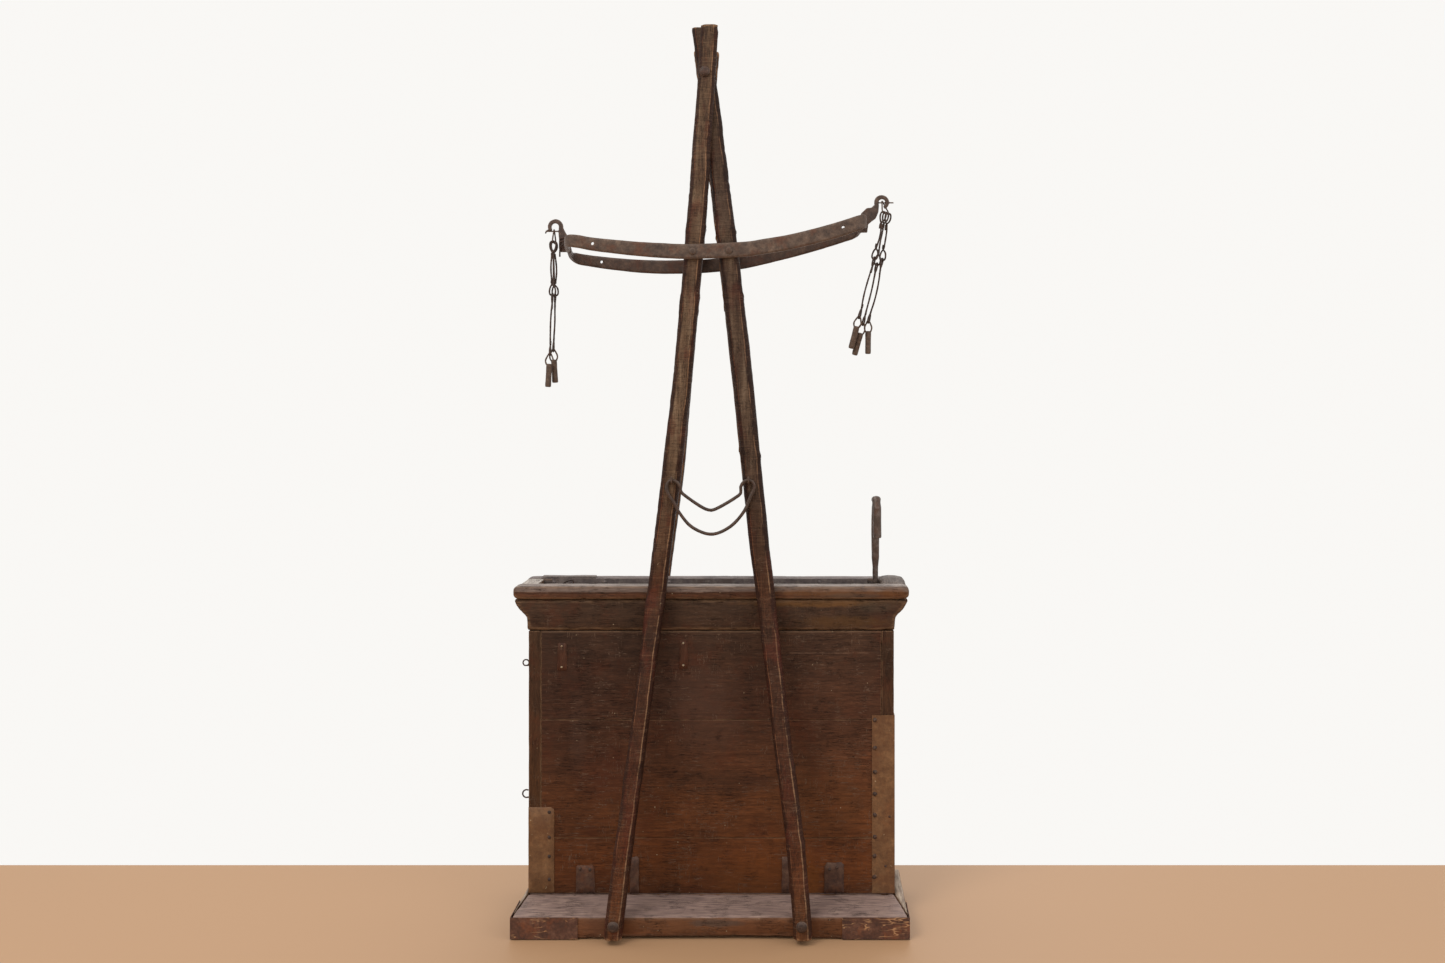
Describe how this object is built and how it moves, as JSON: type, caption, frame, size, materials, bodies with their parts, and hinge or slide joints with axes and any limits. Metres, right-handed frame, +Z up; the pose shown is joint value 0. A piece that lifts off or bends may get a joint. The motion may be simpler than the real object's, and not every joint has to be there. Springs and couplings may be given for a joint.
{
  "type": "wooden box with twin mast frame",
  "caption": "Tall slim open wooden box on a plinth, straddled by crossed wooden masts that carry a forged yoke with scroll hooks, wire strands and toggle pegs.",
  "frame": {"origin": "middle of the overall footprint, on the floor that the plinth stands on", "axes": "+Z up, the front with the wider ledge of the plinth faces -Y, +X to the viewer's right"},
  "size_m": [0.4472, 0.195, 1.002],
  "materials": {
    "box_wood": "aged, scratched",
    "rim_wood": "aged, worn edges",
    "plinth_wood": "worn, bleached",
    "mast_wood": "aged, cracked",
    "forged_iron": "rusted",
    "wire": "rusted",
    "band_iron": "dull, tarnished",
    "tin": "stained"
  },
  "bodies": {
    "box_and_masts": {"base_front_board": "plinth_wood", "base_left_board": "plinth_wood", "base_right_board": "plinth_wood", "base_core": "plinth_wood", "left_end_wall": "box_wood", "right_end_wall": "box_wood", "front_board_lower": "box_wood", "front_board_middle": "box_wood", "front_board_upper": "box_wood", "back_panel": "box_wood", "front_frieze": "box_wood", "back_frieze": "box_wood", "front_top_rail": "rim_wood", "back_top_rail": "rim_wood", "left_end_rail": "rim_wood", "right_end_rail": "rim_wood", "front_left_leg": "mast_wood", "front_right_leg": "mast_wood", "rear_left_leg": "mast_wood", "rear_right_leg": "mast_wood", "base_corner_iron_left": "forged_iron", "base_corner_iron_right": "forged_iron", "front_left_foot_bolt": "forged_iron", "front_left_yoke_rivet": "forged_iron", "front_right_foot_bolt": "forged_iron", "front_right_yoke_rivet": "forged_iron", "rear_left_foot_bolt": "forged_iron", "rear_left_yoke_rivet": "forged_iron", "rear_right_foot_bolt": "forged_iron", "rear_right_yoke_rivet": "forged_iron", "front_yoke_strap": "forged_iron", "rear_yoke_strap": "forged_iron", "left_yoke_hook": "forged_iron", "right_yoke_hook": "forged_iron", "mast_bolt": "forged_iron", "mast_bolt_nut": "forged_iron", "ring_nail_left": "forged_iron", "ring_nail_right": "forged_iron", "upright_hook_staple": "forged_iron", "back_inner_band": "band_iron", "right_tin_strip": "tin"},
    "wire_ring": {"wire_ring": "wire"},
    "upright_hook": {"upright_hook": "forged_iron"},
    "left_shackle": {"left_shackle": "wire"},
    "right_shackle": {"right_shackle": "wire"},
    "left_strand_1_upper_link": {"left_strand_1_upper_link": "wire"},
    "left_strand_1_lower_link": {"left_strand_1_lower_link": "wire"},
    "left_strand_1_toggle_peg": {"left_strand_1_toggle_peg": "wire"},
    "left_strand_2_upper_link": {"left_strand_2_upper_link": "wire"},
    "left_strand_2_lower_link": {"left_strand_2_lower_link": "wire"},
    "left_strand_2_toggle_peg": {"left_strand_2_toggle_peg": "wire"},
    "right_strand_1_upper_link": {"right_strand_1_upper_link": "wire"},
    "right_strand_1_lower_link": {"right_strand_1_lower_link": "wire"},
    "right_strand_1_toggle_peg": {"right_strand_1_toggle_peg": "wire"},
    "right_strand_2_upper_link": {"right_strand_2_upper_link": "wire"},
    "right_strand_2_lower_link": {"right_strand_2_lower_link": "wire"},
    "right_strand_2_toggle_peg": {"right_strand_2_toggle_peg": "wire"},
    "right_strand_3_upper_link": {"right_strand_3_upper_link": "wire"},
    "right_strand_3_lower_link": {"right_strand_3_lower_link": "wire"},
    "right_strand_3_toggle_peg": {"right_strand_3_toggle_peg": "wire"}
  },
  "joints": [
    {"name": "wire_ring_swing", "type": "hinge", "parent": "box_and_masts", "child": "wire_ring", "pos_m": [0, -0.03735, 0.494], "axis": [-1, 0, 0], "range_deg": [0, 175]},
    {"name": "upright_hook_turn", "type": "hinge", "parent": "box_and_masts", "child": "upright_hook", "pos_m": [0.1884, 0.03615, 0.3], "axis": [0, 0, 1], "range_deg": [-90, 90]},
    {"name": "left_shackle_sway", "type": "hinge", "parent": "box_and_masts", "child": "left_shackle", "pos_m": [-0.1854, 0.02815, 0.7784], "axis": [1, 0, 0], "range_deg": [-12, 12]},
    {"name": "left_strand_1_upper_swing", "type": "hinge", "parent": "left_shackle", "child": "left_strand_1_upper_link", "pos_m": [-0.1854, 0.02065, 0.7648], "axis": [0, 1, 0], "range_deg": [-15, 45]},
    {"name": "left_strand_1_lower_swing", "type": "hinge", "parent": "left_strand_1_upper_link", "child": "left_strand_1_lower_link", "pos_m": [-0.18592, 0.02065, 0.7048], "axis": [0, 1, 0], "range_deg": [-40, 40]},
    {"name": "left_strand_1_toggle_swing", "type": "hinge", "parent": "left_strand_1_lower_link", "child": "left_strand_1_toggle_peg", "pos_m": [-0.18885, 0.02065, 0.63486], "axis": [0, 1, 0], "range_deg": [-40, 40]},
    {"name": "left_strand_2_upper_swing", "type": "hinge", "parent": "left_shackle", "child": "left_strand_2_upper_link", "pos_m": [-0.1854, 0.02815, 0.7648], "axis": [0, 1, 0], "range_deg": [-15, 45]},
    {"name": "left_strand_2_lower_swing", "type": "hinge", "parent": "left_strand_2_upper_link", "child": "left_strand_2_lower_link", "pos_m": [-0.18414, 0.02815, 0.70481], "axis": [0, 1, 0], "range_deg": [-40, 40]},
    {"name": "left_strand_2_toggle_swing", "type": "hinge", "parent": "left_strand_2_lower_link", "child": "left_strand_2_toggle_peg", "pos_m": [-0.1863, 0.02815, 0.63985], "axis": [0, 1, 0], "range_deg": [-40, 40]},
    {"name": "right_shackle_sway", "type": "hinge", "parent": "box_and_masts", "child": "right_shackle", "pos_m": [0.1964, 0.02815, 0.8116], "axis": [1, 0, 0], "range_deg": [-12, 12]},
    {"name": "right_strand_1_upper_swing", "type": "hinge", "parent": "right_shackle", "child": "right_strand_1_upper_link", "pos_m": [0.19704, 0.01958, 0.79867], "axis": [0.4226, 0.9063, 0], "range_deg": [-45, 12]},
    {"name": "right_strand_1_lower_swing", "type": "hinge", "parent": "right_strand_1_upper_link", "child": "right_strand_1_lower_link", "pos_m": [0.18656, 0.02446, 0.74694], "axis": [0.4226, 0.9063, 0], "range_deg": [-40, 28]},
    {"name": "right_strand_1_toggle_swing", "type": "hinge", "parent": "right_strand_1_lower_link", "child": "right_strand_1_toggle_peg", "pos_m": [0.16926, 0.03253, 0.67856], "axis": [0.4226, 0.9063, 0], "range_deg": [-40, 28]},
    {"name": "right_strand_2_upper_swing", "type": "hinge", "parent": "right_shackle", "child": "right_strand_2_upper_link", "pos_m": [0.20021, 0.02637, 0.79867], "axis": [0.4226, 0.9063, 0], "range_deg": [-45, 12]},
    {"name": "right_strand_2_lower_swing", "type": "hinge", "parent": "right_strand_2_upper_link", "child": "right_strand_2_lower_link", "pos_m": [0.19001, 0.03113, 0.74075], "axis": [0.4226, 0.9063, 0], "range_deg": [-40, 28]},
    {"name": "right_strand_2_toggle_swing", "type": "hinge", "parent": "right_strand_2_lower_link", "child": "right_strand_2_toggle_peg", "pos_m": [0.174, 0.0386, 0.67095], "axis": [0.4226, 0.9063, 0], "range_deg": [-40, 28]},
    {"name": "right_strand_3_upper_swing", "type": "hinge", "parent": "right_shackle", "child": "right_strand_3_upper_link", "pos_m": [0.20338, 0.03317, 0.79867], "axis": [0.4226, 0.9063, 0], "range_deg": [-45, 12]},
    {"name": "right_strand_3_lower_swing", "type": "hinge", "parent": "right_strand_3_upper_link", "child": "right_strand_3_lower_link", "pos_m": [0.19659, 0.03634, 0.7467], "axis": [0.4226, 0.9063, 0], "range_deg": [-40, 28]},
    {"name": "right_strand_3_toggle_swing", "type": "hinge", "parent": "right_strand_3_lower_link", "child": "right_strand_3_toggle_peg", "pos_m": [0.18061, 0.04379, 0.67381], "axis": [0.4226, 0.9063, 0], "range_deg": [-40, 28]}
  ]
}
